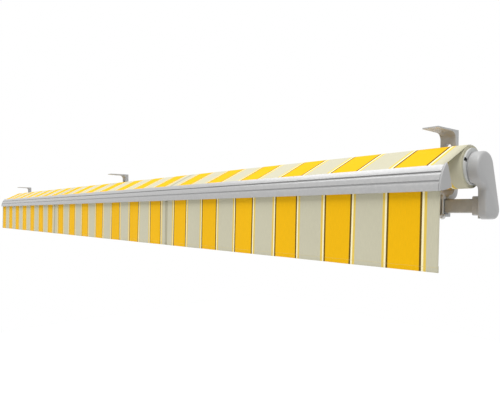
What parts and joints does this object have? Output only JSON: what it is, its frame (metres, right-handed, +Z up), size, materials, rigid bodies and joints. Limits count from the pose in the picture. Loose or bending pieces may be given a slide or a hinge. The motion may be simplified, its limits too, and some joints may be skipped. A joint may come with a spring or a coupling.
{
  "type": "folding arm awning",
  "caption": "Retractable folding-arm awning with a striped cloth on a roller, a valance under the front bar, a square torsion bar and ceiling brackets.",
  "frame": {"origin": "middle of the middle ceiling bracket's face on the ceiling", "axes": "+X along the awning to the right as seen from the garden, +Y to the wall, +Z up"},
  "size_m": [3.438, 0.1983, 0.297],
  "materials": {
    "cast_aluminium": "gray powder-coated casting",
    "extruded_aluminium": "satin gray coated extrusion",
    "bracket_paint": "gray powder coat",
    "bar_paint": "gray powder coat",
    "cover_plastic": "gray moulded plastic",
    "plug_plastic": "light gray moulded plastic",
    "steel": "zinc-plated steel",
    "brass": "cut brass",
    "awning_cloth": "woven awning cloth with yellow and gray stripes"
  },
  "bodies": {
    "root": {"torsion_bar": "bar_paint", "ceiling_bracket_right": "bracket_paint", "ceiling_bracket_middle": "bracket_paint", "ceiling_bracket_left": "bracket_paint", "bar_clamp_right": "bracket_paint", "bar_clamp_middle": "bracket_paint", "bar_clamp_left": "bracket_paint", "clamp_bolt_right_1": "steel", "clamp_bolt_right_2": "steel", "clamp_bolt_middle_1": "steel", "clamp_bolt_middle_2": "steel", "clamp_bolt_left_1": "steel", "clamp_bolt_left_2": "steel", "end_cover_right": "cover_plastic", "end_cover_left": "cover_plastic", "end_bracket_right": "cast_aluminium", "end_bracket_left": "cast_aluminium", "collar_screw_right": "steel", "collar_screw_left": "steel", "gear_housing": "cast_aluminium", "gear_lid": "cast_aluminium", "shoulder_bracket_right": "cast_aluminium", "shoulder_bracket_left": "cast_aluminium", "shoulder_back_plate_right": "cast_aluminium", "shoulder_back_plate_left": "cast_aluminium", "shoulder_pin_right": "steel", "shoulder_pin_left": "steel"},
    "roller": {"roller_tube": "steel", "fabric_roll": "awning_cloth", "roller_plug_right": "plug_plastic", "roller_plug_left": "plug_plastic", "worm_wheel": "brass"},
    "crank": {"worm_shaft": "steel", "crank_eye": "cast_aluminium"},
    "right_upper_arm": {"upper_arm_right": "extruded_aluminium", "shoulder_knuckle_right": "cast_aluminium", "elbow_fork_right": "cast_aluminium", "elbow_pin_right": "steel"},
    "right_forearm": {"forearm_right": "extruded_aluminium", "elbow_knuckle_right": "cast_aluminium", "elbow_cable_right": "steel", "hand_knuckle_right": "cast_aluminium"},
    "left_upper_arm": {"upper_arm_left": "extruded_aluminium", "shoulder_knuckle_left": "cast_aluminium", "elbow_fork_left": "cast_aluminium", "elbow_pin_left": "steel"},
    "left_forearm": {"forearm_left": "extruded_aluminium", "elbow_knuckle_left": "cast_aluminium", "elbow_cable_left": "steel", "hand_knuckle_left": "cast_aluminium"},
    "front_bar": {"front_profile": "extruded_aluminium", "front_cap_right": "cover_plastic", "front_cap_left": "cover_plastic", "hand_bracket_right": "cast_aluminium", "hand_bracket_left": "cast_aluminium", "hand_pin_right": "steel", "hand_pin_left": "steel", "valance": "awning_cloth", "cloth_welt": "awning_cloth"},
    "cover": {"cloth_span": "awning_cloth"}
  },
  "joints": [
    {"name": "right_shoulder", "type": "hinge", "parent": "root", "child": "right_upper_arm", "pos_m": [1.563, -0.0339, -0.1655], "axis": [0, -0.2079, 0.9781], "range_deg": [0, 76]},
    {"name": "right_elbow", "type": "hinge", "parent": "right_upper_arm", "child": "right_forearm", "pos_m": [0.31336, -0.06324, -0.17174], "axis": [0, -0.2079, 0.9781], "range_deg": [-152, 0]},
    {"name": "right_hand", "type": "hinge", "parent": "right_forearm", "child": "front_bar", "pos_m": [1.563, -0.09259, -0.17797], "axis": [0, -0.2079, 0.9781], "range_deg": [0, 76]},
    {"name": "left_shoulder", "type": "hinge", "parent": "root", "child": "left_upper_arm", "pos_m": [-1.487, -0.0339, -0.1655], "axis": [0, -0.2079, 0.9781], "range_deg": [-76, 0]},
    {"name": "left_elbow", "type": "hinge", "parent": "left_upper_arm", "child": "left_forearm", "pos_m": [-0.23736, -0.06324, -0.17174], "axis": [0, -0.2079, 0.9781], "range_deg": [0, 152]},
    {"name": "roller_spin", "type": "hinge", "parent": "root", "child": "roller", "pos_m": [0.038, -0.0245, -0.0888], "axis": [1, 0, 0], "continuous": true},
    {"name": "crank_spin", "type": "hinge", "parent": "root", "child": "crank", "pos_m": [-1.6684, -0.03975, -0.0888], "axis": [0, 0, 1], "continuous": true},
    {"name": "cloth_slide", "type": "slide", "parent": "root", "child": "cover", "axis": [0, -0.9781, -0.2079], "range_m": [0, 2.3796]}
  ],
  "couplings": [
    {"joint": "right_elbow", "follows": "right_shoulder", "ratio": -2},
    {"joint": "right_hand", "follows": "right_shoulder", "ratio": 1},
    {"joint": "left_shoulder", "follows": "right_shoulder", "ratio": -1},
    {"joint": "left_elbow", "follows": "right_shoulder", "ratio": 2},
    {"joint": "roller_spin", "follows": "right_shoulder", "ratio": 43.9},
    {"joint": "crank_spin", "follows": "right_shoulder", "ratio": 570.7},
    {"joint": "cloth_slide", "follows": "right_shoulder", "m_per_rad": 1.7939}
  ]
}
